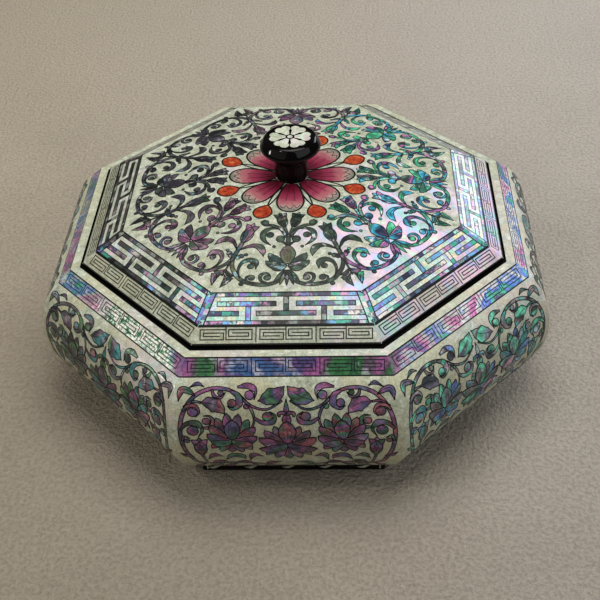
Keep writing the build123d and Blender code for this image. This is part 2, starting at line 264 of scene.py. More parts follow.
def pale_shell(name, brightness=1.0, patch=95, sheen=0.5, warmth=0.3, spotted=0.22, centres=PAINTED_SHEENS):
    """Cream-green mother-of-pearl in fitted patches; faint pink, violet and cyan in spots and a painted
    sheen.
    """
    p = Paint(name)
    patches = {"Vector": p.where, "Scale": patch}
    cell = p.add("ShaderNodeTexVoronoi", patches, "Color", feature="F1")
    to_edge = p.add("ShaderNodeTexVoronoi", patches, feature="DISTANCE_TO_EDGE")
    cell_tone = p.add("ShaderNodeSeparateColor", {"Color": cell}, "Red")
    cloud = p.noise(260, 5, 0.6, 0.6)
    cream = p.ramp(cloud, [
        (300, 260, 300, 210), (450, 430, 470, 360), (560, 570, 610, 490), (700, 780, 800, 700)])
    warm = p.blend(p.times(cell_tone, warmth), cream, (0.57, 0.54, 0.35, 1))
    lit = p.shade(warm, 0.55, p.noise(1100, 3, 0.7), (300, 400), (620, 1100))
    hues = p.ramp(p.noise(62, 3, 0.55, 1.2), [
        (300, 400, 850, 720), (400, 500, 740, 980), (470, 800, 620, 980), (560, 1000, 660, 840),
        (680, 760, 960, 840)])
    spots = p.step(p.noise(75), 0.6, 0.74)
    # pink, violet and cyan: random spots, and a painted sheen round the centres
    weight = p.maths("MAXIMUM", p.times(p.painted_sheen(centres), sheen), p.times(spots, spotted))
    joined = p.blend(p.step(to_edge, 0.0, 0.018), (0.42, 0.42, 0.31, 1), p.blend(weight, lit, hues))
    final = p.blend(1.0, joined, (brightness, brightness, brightness, 1), "MULTIPLY")
    return p.finish(final, p.span(cloud, 0.48, 0.3), (cloud, 0.25, 0.0004), 0.1, 0.25)


def abalone_shell(name, scale, glint, palette):
    """Abalone in soft clouds of a palette, with fine growth lines and brighter painted glints."""
    p = Paint(name)
    tone = p.tone()
    move = p.add("ShaderNodeCombineXYZ", {
        "X": p.times(tone, TONE_SHIFT), "Y": p.times(tone, -TONE_SHIFT * 0.7),
        "Z": p.times(tone, TONE_SHIFT * 1.3)})
    own = p.vector("ADD", p.where, move)
    hue = p.noise(scale, 1.5, 0.4, 0.8, own)
    bright = p.ramp(p.noise(scale * 1.3, 2, 0.5, 0.8, own), GLINT_SHELL)
    glints = p.step(p.noise(scale * 2.4, 4, 0.65, 0, own), 0.56, 0.68)
    # the painted glints are stronger within the painted sheen
    strength = p.plus(glint, p.times(p.painted_sheen(PAINTED_SHEENS), 0.4))
    mixed = p.blend(p.times(glints, strength), p.ramp(hue, palette), bright)
    lines = p.add("ShaderNodeTexWave", {
        "Vector": own, "Scale": 190, "Distortion": 7, "Detail": 3, "Detail Scale": 1.5},
        "Fac", wave_type="BANDS", bands_direction="DIAGONAL")
    ruled = p.shade(mixed, 0.4, lines, (50, 550), (450, 1000))
    final = p.shade(ruled, 1.0, p.noise(250, 3, 0.55, 0, own), (340, 550), (640, 1300))
    return p.finish(final, p.span(hue, 0.4, 0.22), (lines, 0.12, 0.0002), 0.05, 0.2)


def band_shell(name):
    """The shoulder band: smooth clouds, calm at the front and livelier beside it, partly by a painted sheen.
    """
    p = Paint(name)
    calm = p.ramp(p.noise(26, 3, 0.5, 0.8), BAND_SHELL)
    lively_sheen = p.ramp(p.noise(38, 4, 0.6, 0.6), LIVELY_SHEEN_BAND_SHELL)
    # beside the front the colours grow livelier: part pattern, part painted sheen
    beside = p.step(p.maths("ABSOLUTE", p.along("X")), 0.056, 0.062)
    weight = p.times(beside, p.plus(0.45, p.times(p.painted_sheen(PAINTED_SHEENS), 0.5)))
    # glow: painted highlights in spots
    glow = p.step(p.noise(85, 3), 0.56, 0.68)
    # sparkle: a painted glint on the band by the front-left corner
    to_corner = p.vector("DISTANCE", p.where, PAINTED_SHEENS[1][0], "Value")
    sparkle = p.ramp(p.noise(230, 4, 0.7), [
        (380, 50, 60, 40), (460, 100, 400, 180), (510, 900, 920, 840), (580, 800, 800, 660),
        (640, 140, 120, 100), (700, 700, 450, 550)])
    near = p.times(beside, p.step(to_corner, 0.062, 0.03))
    blended = p.blend(near, p.blend(weight, calm, lively_sheen), sparkle)
    colour = p.blend(p.times(glow, 0.4), blended, (0.75, 0.72, 0.8, 1))
    grain = p.noise(600, 4, 0.7)
    final = p.shade(colour, 0.8, grain, (320, 350), (620, 1300))
    return p.finish(final, 0.26, (grain, 0.12, 0.0002), 0.2)


def block_shell(name, quiet, sheen):
    """Short shell blocks: each block's tone picks its colour, calm, or of a painted sheen by where it lies.
    """
    p = Paint(name)
    wander = p.times(p.maths("SUBTRACT", p.noise(420, 3), 0.5), 0.5)
    pick = p.plus(p.tone(), wander)
    spots = p.step(p.noise(52), 0.48, 0.6)
    # a painted sheen: in spots towards the front, and round the sheen centres
    front = p.times(p.step(p.along("Y"), 0.0, -0.06), 0.65)
    weight = p.maths("MAXIMUM", p.painted_sheen(PAINTED_SHEENS), p.times(spots, front))
    colour = p.blend(weight, p.ramp(pick, quiet), p.ramp(pick, sheen))
    grain = p.noise(900, 4, 0.7)
    final = p.shade(colour, 0.5, grain, (320, 300), (600, 1000))
    return p.finish(final, 0.3, (grain, 0.15, 0.0002), 0.15, 0.35)


def black_lacquer(name, roughness, colour=(3, 2.5, 2.5), flecks=0.0):
    """Polished black lacquer with a faint unevenness, its colour in thousandths."""
    p = Paint(name)
    base = p.ramp(p.noise(55, 3), [
        (place, *(c * share for c in colour)) for place, share in ((350, 0.7), (650, 1.6))])
    if flecks:
        worn = p.step(p.noise(330, 4, 0.7), 0.66, 0.74)
        base = p.blend(p.times(worn, flecks), base, (0.1, 0.11, 0.1, 1))
    rough = p.span(p.noise(210, 4), roughness * 0.7, roughness * 1.4)
    return p.finish(base, rough, (p.noise(90), 0.05, 0.0006), 0.15, 0.08, 0.03)


def petal_shell(name):
    """Deep pink near the knob, fading to a pale grey-pink tip."""
    p = Paint(name)
    flat = p.vector("MULTIPLY", p.where, (1, 1, 0))
    reach = p.add("ShaderNodeVectorMath", {0: flat}, "Value", operation="LENGTH")
    ragged = p.plus(reach, p.times(p.noise(300, 4), 0.007))
    fade = p.add("ShaderNodeMapRange", {"Value": ragged, "From Min": 0.01, "From Max": 0.039})
    colour = p.ramp(fade, [
        (0, 130, 7, 20), (300, 230, 14, 42), (540, 320, 36, 80), (740, 420, 130, 150),
        (880, 440, 300, 260), (980, 200, 210, 170)])
    grain = p.noise(700, 4, 0.7)
    final = p.shade(colour, 0.5, grain, (300, 450), (620, 1000))
    return p.finish(final, 0.3, (grain, 0.15, 0.0002), POLISHED_COAT)


def drop_shell(name):
    """Orange-red shell with lighter clouds."""
    p = Paint(name)
    cloud = p.noise(330, 4, 0.6, 0.8)
    colour = p.ramp(cloud, [
        (300, 160, 14, 7), (470, 330, 35, 12), (580, 460, 75, 22), (720, 620, 220, 70)])
    return p.finish(colour, 0.28, (cloud, 0.15, 0.0003), POLISHED_COAT)


def dark_line(name):
    """The dark lacquer that fills the saw cuts between pieces of shell."""
    p = Paint(name)
    colour = p.ramp(p.noise(500, 3), [(350, 2, 3, 2), (680, 10, 12, 9)])
    return p.finish(colour, 0.45, specular=0.2)


def dish_lacquer(name):
    """Dark red lacquer."""
    p = Paint(name)
    cloud = p.noise(40, 4)
    colour = p.ramp(cloud, [(350, 140, 10, 6), (650, 240, 18, 10)])
    return p.finish(colour, p.span(p.noise(160, 4), 0.16, 0.34), (cloud, 0.05, 0.0006), 0.8,
                    coat_roughness=0.05)


def bare_wood(name):
    """Plain pale hardwood with its grain upright."""
    p = Paint(name)
    stretched = p.add("ShaderNodeMapping", {"Vector": p.where, "Scale": (1, 1, 0.08)})
    grain = p.noise(900, 4, 0.6, 0.4, stretched)
    colour = p.ramp(grain, [(350, 300, 170, 80), (650, 500, 330, 180)])
    return p.finish(colour, 0.6, (grain, 0.2, 0.0002))


def table_top(name):
    """A plain pale floor, warm grey, with a fine plaster-like tooth; painted light: paler to the back, cooler
    to the right.
    """
    p = Paint(name)
    # painted light: brighter towards the back
    cloud = p.plus(p.times(p.noise(9, 3), 0.5), p.plus(p.times(p.along("Y"), 0.9), 0.25))
    colour = p.ramp(cloud, [(150, 345, 300, 242), (950, 530, 462, 388)])
    tooth = p.noise(420, 3, 0.6)
    # painted light: warmer and darker to the left, cooler and a little paler to the right
    across = p.plus(p.along("X"), 0.5)
    painted_side_light = p.shade(colour, 1.0, across, (150, 910, 885, 800), (850, 1000, 1020, 1060))
    speckled = p.shade(painted_side_light, 1.0, tooth, (340, 840), (640, 1080))
    return p.finish(speckled, 0.85, (tooth, 1.0, 0.0035))


MATERIALS = {
    "field": pale_shell("pale_shell_field", 0.96, 95, 0.85, 0.3, 0.24, GROUND_PAINTED_SHEENS),
    "strip": pale_shell("pale_shell_strips", 1.0, 70, 0.15, 0.7, 0.07),
    "key_strip": pale_shell("pale_shell_keys", 0.86, 70, 0.85, 0.5, 0.1, PAINTED_SHEENS[:1]),
    "panel": pale_shell("pale_shell_sides", 0.97, 80, 0.2, 0.8, 0.07),
    "knob_shell": pale_shell("knob_flower_shell", 1.05, 260),
    "band": band_shell("abalone_band"),
    "line": dark_line("dark_lines"),
    "pale_block": block_shell("pale_blocks", PALE_BLOCKS, PALE_BLOCKS_SHEEN),
    "dark_block": block_shell("dark_blocks", DARK_BLOCKS, DARK_BLOCKS_SHEEN),
    "petal": petal_shell("pink_petals"),
    "drop": drop_shell("orange_drops"),
    "knob": black_lacquer("knob_lacquer", 0.1),
    "wood": black_lacquer("black_lacquer", 0.22),
    "plinth": black_lacquer("plinth_lacquer", 0.4, (6, 5, 4), 0.5),
    "dish": dish_lacquer("dish_lacquer"),
    "dowel": bare_wood("dowel_wood"),
    "floor": table_top("floor"),
    **{key: abalone_shell("abalone_" + key, *look) for key, look in ABALONE.items()},
}


MATERIAL_OF = {
    "foot_rails": "plinth", "shoulder_strips": "band", "ledge_strips": "strip", "key_strips": "key_strip",
    "fret_strips": "pale_block", "field_sheets": "field", "flower_petals": "petal",
    "flower_drops": "drop", "knob": "knob", "knob_flower": "knob_shell", "knob_dowel": "dowel"}

for name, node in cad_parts.items():
    key = "panel" if name.startswith("side_veneer") else "dish" if "dish" in name else "wood"
    node.data.materials.clear()
    node.data.materials.append(MATERIALS[MATERIAL_OF.get(name, key)])


# ---- the surfaces that take ornament ----

def outward(side):
    """The unit vector from the axis to the middle of a side, sides counted from 0 at the front."""
    angle = side * TURN - math.tau / 4
    return np.array((math.cos(angle), math.sin(angle), 0.0))


def outer_chain(node_name):
    """A node's outer section line, in millimetres: (apothem, height) pairs from its top downwards."""
    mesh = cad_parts[node_name].data
    places = np.empty(len(mesh.vertices) * 3)
    mesh.vertices.foreach_get("co", places)
    places = places.reshape(-1, 3) / MM
    apothems = np.max([places @ outward(side) for side in range(SIDES)], axis=0)
    pairs = sorted(set(zip(apothems.round(3), places[:, 2].round(3))), key=lambda p: (-p[1], -p[0]))
    chain = [pairs[0]]
    for pair in pairs[1:]:
        while len(chain) > 1 and turns_out(chain[-2], chain[-1], pair):
            chain.pop()
        chain.append(pair)
    lowest = min(range(len(chain)), key=lambda i: (chain[i][1], -chain[i][0]))
    return np.array(chain[:lowest + 1], float)


def turns_out(a, b, c):
    """True where b lies inside the line from a to c, seen from outside the box."""
    return (b[0] - a[0]) * (c[1] - b[1]) - (b[1] - a[1]) * (c[0] - b[0]) >= 0


def longest_run(chain):
    """The longest straight run of a section line, which is a flat strip's face."""
    steps = np.hypot(*np.diff(chain, axis=0).T)
    first = int(steps.argmax())
    return chain[first:first + 2]


class Face:
    """A face that runs along every side, given by its section line from the top downwards."""

    turned = 0.0

    def __init__(self, line):
        self.line = np.array(line, float)
        steps = np.diff(self.line, axis=0)
        self.along = np.concatenate([[0.0], np.cumsum(np.hypot(*steps.T))])
        self.length = self.along[-1]
        normals = np.stack([-steps[:, 1], steps[:, 0]], 1) / np.hypot(*steps.T)[:, None]
        at_ends = np.concatenate([normals[:1], (normals[:-1] + normals[1:]) / 2, normals[-1:]])
        self.normals = at_ends / np.hypot(*at_ends.T)[:, None]

    def half_width(self, y):
        """Half of a side's length at a distance down the face."""
        return float(np.interp(y, self.along, self.line[:, 0])) * math.tan(TURN / 2)

    def lay(self, flat, height):
        """Puts flat (x, y) places onto side 1's sector as (outwards, along, up), in millimetres."""
        apothem, up, normal_out, normal_up = (
            np.interp(flat[:, 1], self.along, column) for column in (*self.line.T, *self.normals.T))
        return np.stack([apothem + normal_out * height, flat[:, 0], up + normal_up * height], 1)


class Ridge:
    """The two lid facets that meet at a ridge: y is the distance from the axis along the ridge."""

    turned = 0.5

    def __init__(self, face):
        self.line = face.line

    def lay(self, flat, height):
        apothem = flat[:, 1] * math.cos(TURN / 2) + np.abs(flat[:, 0]) * math.sin(TURN / 2)
        up = np.interp(apothem, self.line[:, 0], self.line[:, 1])
        return np.stack([flat[:, 1], flat[:, 0], up + height], 1)


def field_face():
    """The lid's field from the axis outwards: its flat middle and its sloping facet."""
    chain = outer_chain("field_sheets")
    top = chain[chain[:, 1] > chain[0][1] - 0.01]
    flat_edge = top[top[:, 0].argmax()]
    foot = max(chain[chain[:, 1] < flat_edge[1] - 1.0], key=lambda pair: pair[0])
    return Face([(0.0, flat_edge[1]), flat_edge, foot])


FIELD = field_face()
RIDGE = Ridge(FIELD)
FRET, KEY, SHOULDER, PLINTH = (
    Face(longest_run(outer_chain(name)))
    for name in ("fret_strips", "key_strips", "shoulder_strips", "foot_rails"))
BELLY = Face(outer_chain("side_veneer_1"))


# ---- drawing ornament flat ----

# how deep a slab is sunk, how high it stands, and what each level and a dark line add, in millimetres
BURIED = 0.12
SHELL_HEIGHT = 0.035
LEVEL_STEP = 0.02
LINE_LIFT = 0.011
TONE_PER_SECTOR = 0.37
HEAD_GROWTH = 1.22
LEAF_VEIN = 0.3
VEIN_WIDTH = 0.2
VEIN_LEVEL = 0.4


def smooth_path(points, per_span=5):
    """A smooth line through a few points."""
    points = [np.array(p, float) for p in points]
    padded = [2 * points[0] - points[1], *points, 2 * points[-1] - points[-2]]
    path = []
    for a, b, c, d in zip(padded, padded[1:], padded[2:], padded[3:]):
        for t in np.arange(per_span) / per_span:
            path.append(0.5 * (2 * b + (c - a) * t + (2 * a - 5 * b + 4 * c - d) * t * t
                               + (3 * b - a - 3 * c + d) * t ** 3))
    return np.array(path + [points[-1]])


def unit(steps):
    """Rows of x and y, each scaled to length 1."""
    return steps / np.maximum(np.hypot(*steps.T), 1e-9)[:, None]


def sides_of(path, left, right):
    """The two edges of a band about a line, with its widths to the left and right."""
    ahead = unit(np.gradient(path, axis=0))
    normal = np.stack([ahead[:, 1], -ahead[:, 0]], 1)
    return path + normal * np.asarray(left)[:, None], path - normal * np.asarray(right)[:, None]


def resampled(values, count):
    """A few widths spread evenly along a piece and eased between."""
    spots = np.linspace(0, len(values) - 1, count)
    low = np.minimum(spots.astype(int), len(values) - 2)
    t = spots - low
    t = t * t * (3 - 2 * t)
    values = np.array(values, float)
    return values[low] * (1 - t) + values[low + 1] * t


class Pattern:
    """Pieces drawn flat: each is a grid of places with its kind, level and tone."""

    def __init__(self, line_width=0.5, seed=1):
        self.pieces, self.line_width = [], line_width
        self.dice = random.Random(seed)

    def grid(self, kind, grid, level=0, closed=False):
        self.pieces.append((kind, np.array(grid, float), level, self.dice.random(), closed))

    def line(self, path, width, level=0):
        """A line of one width, its ends square."""
        path = np.array(path, float)
        left, right = sides_of(path, [width / 2] * len(path), [width / 2] * len(path))
        self.grid("line", np.stack([left, right], 1), level)

    def loop(self, path, width, level):
        """A closed line along the edge of a piece."""
        path = np.array(path, float)
        ahead = unit(np.roll(path, -1, 0) - path)
        middle = ahead + np.roll(ahead, 1, 0)
        middle = np.stack([middle[:, 1], -middle[:, 0]], 1)
        size = np.maximum(np.hypot(*middle.T), 0.5)[:, None]
        normals = middle / size * np.minimum(2.0 / size, 1.5) * width / 2
        self.grid("line", np.stack([path + normals, path - normals], 1), level, closed=True)

    def blade(self, path, left, right=None, level=2, vein=0.0):
        """A piece of shell about a line, with half-widths along it, and its dark outline."""
        path = np.array(path, float)
        left = np.maximum(left, 0.06)
        right = left if right is None else np.maximum(right, 0.06)
        left_edge, right_edge = sides_of(path, left, right)
        self.grid("shell", np.stack([left_edge, path, right_edge], 1), level)
        self.loop(np.concatenate([left_edge, right_edge[::-1]]), self.line_width, level)
        if vein:
            self.line(path[1:max(3, int(len(path) * 0.8))], vein, level + VEIN_LEVEL)

    def mirrored(self):
        """Adds the mirror image of every piece so far, with tones of its own."""
        for kind, grid, level, _, closed in list(self.pieces):
            self.grid(kind, (grid * (-1, 1))[:, ::-1], level, closed)
        return self

    # ---- ornaments made of blades ----
    def stem(self, points, widths, level=1, per_span=5):
        """A stem through a few points, with a few half-widths along it."""
        path = smooth_path(points, per_span)
        self.blade(path, resampled(widths, len(path)), level=level)

    def leaf(self, points, left, right, teeth=0, bite=0.3, level=3):
        """A leaf along a bowed midrib, its lobed left edge bitten into by teeth."""
        path = smooth_path(points)
        count = len(path)
        left, right = resampled([0.1, *left, 0.1], count), resampled([0.1, *right, 0.1], count)
        if teeth:
            phase = np.linspace(0, teeth, count) % 1.0
            left = left * (1 - bite * (1 - phase))
        self.blade(path, left, right, level, LEAF_VEIN)

    def ball(self, x, y, radius, level=3):
        """A round piece."""
        turn = np.linspace(math.pi, 0, 8)
        path = np.stack([x + radius * np.cos(turn), np.full(8, y)], 1)
        self.blade(path, radius * np.sin(turn), level=level)

    def hook(self, points, widths, ball):
        """A curled stem through a few points that ends in a round head (x, y, radius)."""
        self.stem(points, [*widths, 0.1], 2, 4)
        x, y, radius = ball
        self.ball(x, y, radius * HEAD_GROWTH)

    def petal(self, base, tip, width, bend=0.0, peak=0.6, level=3, rows=10, sharp=0.6, veins=1):
        """A petal from base to tip, widest at its peak, with engraved veins."""
        base, tip = np.array(base, float), np.array(tip, float)
        t = np.linspace(0, 1, rows)
        run = tip - base
        across = np.array((run[1], -run[0]))
        path = base + t[:, None] * run + (4 * t * (1 - t))[:, None] * across * bend
        rise = np.clip(t / peak, 0, 1)
        fall = np.clip((1 - t) / (1 - peak), 0, 1)
        body = (0.3 + 0.7 * np.sin(rise * np.pi / 2)) * fall ** sharp * width / 2
        self.blade(path, body, level=level)
        sideways = unit(np.stack([np.gradient(path[:, 1]), -np.gradient(path[:, 0])], 1))
        last = int(rows * 0.75)
        for share in ((0.0,), (-0.25, 0.25), (-0.45, 0.0, 0.45))[veins - 1] if veins else ():
            self.line((path + sideways * (body * share)[:, None])[1:last], VEIN_WIDTH, level + VEIN_LEVEL)

    def bud(self, x, y, heading, length, spread):
        """A tulip bud: a middle petal behind two that open outwards."""
        angle = math.radians(heading)
        ahead = np.array((math.cos(angle), -math.sin(angle)))
        beside = np.array((ahead[1], -ahead[0]))
        base = np.array((x, y), float)
        self.petal(base + ahead * length * 0.3, base + ahead * length, length * 0.36 * spread, 0.0, 0.4)
        for sign in (-1, 1):
            tip = base + ahead * length * 0.9 + beside * sign * length * 0.27 * spread
            self.petal(base, tip, length * 0.42 * spread, -0.16 * sign, 0.5, 4, veins=2)

    def bloom(self, x, y, size, petals, heading=90.0):
        """A lotus: petals are (angle, start, reach, width, bend), the back ones first, most in pairs."""
        heart, level = np.array((x, y), float), 3
        for angle, start, reach, width, bend in petals:
            for side in (1, -1) if angle % 180 else (1,):
                turn = math.radians(heading + side * angle)
                ahead = np.array((math.cos(turn), -math.sin(turn)))
                self.petal(heart + ahead * size * start, heart + ahead * size * reach, size * width,
                           side * bend, 0.6, level, sharp=0.5, veins=3 if width > 0.35 else 2)
                level += 1


# ---- slabs from drawings ----

def slab(grid, closed):
    """Faces of a closed slab over a grid of rows by columns: top, bottom and the walls round it."""
    rows, columns = grid.shape[:2]
    count = rows * columns
    spans = rows if closed else rows - 1
    top, walls = [], []
    for i in range(spans):
        a, b = i * columns, (i + 1) % rows * columns
        for j in range(columns - 1):
            top.append((a + j, a + j + 1, b + j + 1, b + j))
        walls.append((b, a))
        walls.append((a + columns - 1, b + columns - 1))
    if not closed:
        for j in range(columns - 1):
            walls.append((j, j + 1))
            last = (rows - 1) * columns
            walls.append((last + j + 1, last + j))
    bottom = [tuple(count + v for v in reversed(face)) for face in top]
    sides = [(b, a, count + a, count + b) for a, b in walls]
    return top + bottom + sides


def make_piece(name, body, material, wanted, layings, sectors=range(SIDES)):
    """One object riding on a body: the wanted kind of piece from (drawing, surface) pairs."""
    vertices, faces, tones, start = [], [], [], 0
    for (art, surface), sector in itertools.product(layings, sectors):
        angle = (sector + surface.turned) * TURN - math.tau / 4
        cosine, sine = math.cos(angle), math.sin(angle)
        for kind, grid, level, tone, closed in art.pieces:
            if kind != wanted:
                continue
            flat = grid.reshape(-1, 2)
            height = SHELL_HEIGHT + level * LEVEL_STEP + (LINE_LIFT if kind == "line" else 0.0)
            local = np.concatenate([surface.lay(flat, height), surface.lay(flat, -BURIED)])
            x = local[:, 0] * cosine - local[:, 1] * sine
            y = local[:, 0] * sine + local[:, 1] * cosine
            vertices.append(np.stack([x, y, local[:, 2]], 1) * MM)
            piece = slab(grid, closed)
            faces += [tuple(start + v for v in face) for face in piece]
            tones += [(tone + TONE_PER_SECTOR * sector) % 1.0] * len(piece)
            start += len(local)
    mesh = bpy.data.meshes.new(name)
    mesh.from_pydata(np.concatenate(vertices).tolist(), [], faces)
    mesh.attributes.new("tone", "FLOAT", "FACE").data.foreach_set("value", tones)
    mesh.materials.append(MATERIALS[material])
    piece = add_object(name, mesh)
    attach(piece, body)


def make_lines(name, body, layings, sectors=range(SIDES)):
    """The dark lines of one or more drawings."""
    make_piece(name, body, "line", "line", layings, sectors)


# ---- key pattern and meander ----

KEY_CELLS = 6
BLOCK_LENGTH = 4.0
CORNER_BLOCKS = 6


def key_lines(face, width):
    """Square spirals in joined pairs along a strip, each cell's line winding in from its divider."""
    art = Pattern(width)
    height = face.length
    top, bottom = height * 0.2, height * 0.73
    step = (bottom - top) / 3
    cell = 2 * face.half_width(height * 0.45) / KEY_CELLS * 0.985
    room = cell - step * 1.15

    def straight(a, b):
        a, b = np.array(a, float), np.array(b, float)
        ahead = (b - a) / np.hypot(*(b - a)) * width / 2
        art.line([a - ahead, b + ahead], width)

    centre = (top + bottom) / 2
    spiral = [(0, top), (room, top), (room, bottom), (step * 0.75, bottom), (step * 0.75, top + step),
              (room - step, top + step), (room - step, bottom - step), (step * 1.9, bottom - step)]
    for pair in range(KEY_CELLS // 2):
        middle = (2 * pair + 1 - KEY_CELLS / 2) * cell
        for sign in (-1, 1):
            corners = [(middle - sign * x, centre + sign * (y - centre)) for x, y in spiral]
            for a, b in zip(corners, corners[1:]):
                straight(a, b)
        straight((middle, top), (middle, bottom))
        straight((middle, 0.6), (middle, top))
        if pair:
            straight((middle - cell, height * 0.06), (middle - cell, height * 0.86))
    for edge, weight in ((0.35, 0.9), (height - 0.3, 0.8)):
        half = face.half_width(edge) - 0.2
        art.line([(-half, edge), (half, edge)], weight)
    return art


def blocks(art, kind, a, b, width, level, slant=(0.0, 0.0)):
    """A straight run of short blocks, its end blocks cut to a slant (dx for dy); gives its outline."""
    a, b = np.array(a, float), np.array(b, float)
    run = np.hypot(*(b - a))
    count = max(1, round(run / BLOCK_LENGTH))
    ahead = (b - a) / run
    beside = np.array((ahead[1], -ahead[0])) * width / 2
    cuts = np.linspace(0, run, count + 1)
    cuts[1:-1] += [art.dice.uniform(-0.2, 0.2) * BLOCK_LENGTH for _ in cuts[1:-1]]
    ends = []
    for cut, lean in zip(cuts, [slant[0], *[0.0] * (count - 1), slant[1]]):
        middle, leaning = a + ahead * cut, ahead * lean * width / 2
        ends.append([middle + beside + leaning, middle - beside - leaning])
    for pair in zip(ends, ends[1:]):
        art.grid(kind, pair, level)
    corners = [ends[0][0], ends[-1][0], ends[-1][1], ends[0][1]]
    outline = []
    for corner, following in zip(corners, corners[1:] + corners[:1]):
        outline += [corner, (corner + following) / 2]
    return outline


def meander():
    """The lid's band: dark T shapes that interlock, a dark frame, and pale paths between."""
    art = Pattern(0.42, 7)
    height, half = FRET.length, FRET.half_width
    row = height / 7
    middles = [row * (k + 0.5) for k in range(7)]
    lean = (half(height) - half(0)) / height
    dark = [((-half(y), y), (half(y), y), (-lean, lean)) for y in (middles[0], middles[6])]
    dark += [((0, row), (0, row * 4), (0, 0)), ((-15.5, middles[4]), (15.5, middles[4]), (0, 0))]
    for sign in (-1, 1):
        dark.append(((sign * 19.6, row * 6), (sign * 19.6, row * 3), (0, 0)))
        for k, near, short in ((2, 5.2, 2.05), (4, 24.6, 0.95)):
            reach = (sign * near, sign * (half(middles[k]) - row * short))
            dark.append(((min(reach), middles[k]), (max(reach), middles[k]), (0, 0)))
    for a, b, slant in dark:
        art.loop(blocks(art, "dark", a, b, row, 1, slant), 0.45, 1)
    for sign in (-1, 1):
        top = np.array([(sign * half(0), 0), (sign * (half(0) - row), 0)])
        low = np.array([(sign * half(height), height), (sign * (half(height) - row), height)])
        for k in range(CORNER_BLOCKS):
            ends = (k / CORNER_BLOCKS, (k + 1) / CORNER_BLOCKS)
            art.grid("dark", [(top + (low - top) * t)[::sign] for t in ends], 2)
        art.line([low[1], top[1]], 0.7, 2)
    for y in middles[1:6]:
        reach = half(y) - row
        blocks(art, "pale", (-reach, y), (reach, y), row, 0)
    for y in (0.25, height - 0.3):
        art.line([(-half(y) + 0.2, y), (half(y) - 0.2, y)], 0.9, 3)
    return art


# ---- scrolls on the lid's field ----

FIELD_BLOOM = [
    (50, 0.05, 0.98, 0.4, 0.12), (76, 0.05, 0.9, 0.38, 0.16), (100, 0.05, 0.66, 0.3, 0.18),
    (0, 0.05, 1.04, 0.64, 0.0)]


def field_scrolls():
    """One facet's ornament: a lotus between two C scrolls, and a stalk with buds above it."""
    art = Pattern(0.5, 21)
    art.stem([(-0.4, 81), (-3.6, 87), (-10, 90), (-17.5, 89.6), (-24, 86.9), (-28, 81.4), (-29.6, 75.6),
        (-29, 69)], [0.7, 1.15, 1.2, 1.1, 1])
    art.leaf([(-25, 86), (-26.1, 79.8), (-24.2, 74.4), (-19.8, 72.2), (-16, 74.4), (-16.8, 79.2)],
        [0.5, 0.7, 0.9, 0.9, 0.6], [0.5, 0.9, 1.6, 3, 2.4], level=2)
    art.ball(-19.6, 77.4, 1.7)
    art.hook([(-9.6, 89.6), (-13.6, 87.4), (-13.9, 83.6), (-10.6, 82.2), (-8.6, 84.4)],
        [0.5, 0.7, 0.9, 0.5], (-10.4, 85.4, 1.5))
    art.hook([(-17.4, 89.4), (-20.8, 88.2), (-21.6, 85), (-19.4, 83.4)], [0.4, 0.6, 0.4], (-18.8, 85.3, 1.5))
    art.ball(-24, 89.6, 1.2)
    art.leaf([(-28.4, 85.8), (-31.2, 86.6), (-35, 91.6)], [1.8, 1.9], [1.6, 1.6], 2, 0.3)
    art.leaf([(-28, 84), (-31, 83.2), (-32.4, 79.6)], [1, 1], [1.4, 1.2])
    art.ball(-26.9, 70.6, 1.5)
    art.hook([(-1, 56.6), (-4.2, 50.8), (-9, 47.8), (-13.4, 47.4), (-15.2, 45.2), (-13.2, 43.6)],
        [0.9, 0.9, 0.8, 0.4], (-12.8, 45.6, 1.4))
    art.leaf([(-4.8, 50.6), (-9.8, 49.8), (-13.8, 52.2), (-14.5, 56.6), (-12.6, 60), (-9.4, 62.4)],
        [0.9, 1.7, 2.2, 1.8, 1], [0.5, 0.8, 0.9, 0.8, 0.4])
    art.ball(-10, 54.8, 2)
    art.hook([(-1, 62), (-2.6, 60.4), (-4, 60.2)], [0.5, 0.5], (-4.3, 57.9, 1.9))
    art.stem([(-0.5, 56), (-1.7, 51.4), (-2.7, 47.4)], [0.9, 0.7])
    art.bud(-2.5, 49, 104, 12.2, 1.08)
    art.ball(-7.6, 63.4, 0.8)
    art.ball(-22.4, 69, 0.9)
    art.mirrored()
    art.stem([(0, 66), (0, 60), (0, 54.6)], [1.4, 1.2, 1], 2)
    for aside, length in ((-7, 8.2), (7, 8.2), (-3.6, 9.4), (3.6, 9.4), (0, 10)):
        art.petal((aside * 0.2, 80.2), (aside, 80.8 + length), 2.2, 0, 0.5, 3, 7, veins=0)
    art.bloom(0, 76.6, 13.4, FIELD_BLOOM)
    return art


def ridge_scrolls():
    """The ornament that sits astride a ridge: a bud between two curled leaves on their stem."""
    art = Pattern(0.5, 33)
    art.leaf([(-0.6, 70.6), (-4.6, 66), (-9, 64.6), (-12.4, 66), (-14.6, 69.6)], [0.7, 1, 1.8, 1.6],
        [0.9, 1.8, 2.4, 1.6], level=2)
    art.ball(-3.6, 73.8, 1.4)
    art.leaf([(-0.6, 88.6), (-2.6, 91.4), (-2.2, 95.6)], [0.9], [0.9])
    art.mirrored()
    art.stem([(0, 90), (0, 82), (0, 74), (0, 67), (0, 62)], [0.25, 0.4, 1.1, 1.1, 0.9], 2)
    art.bud(0, 64.6, 90, 15, 0.92)
    return art


# ---- scrolls on the sides ----

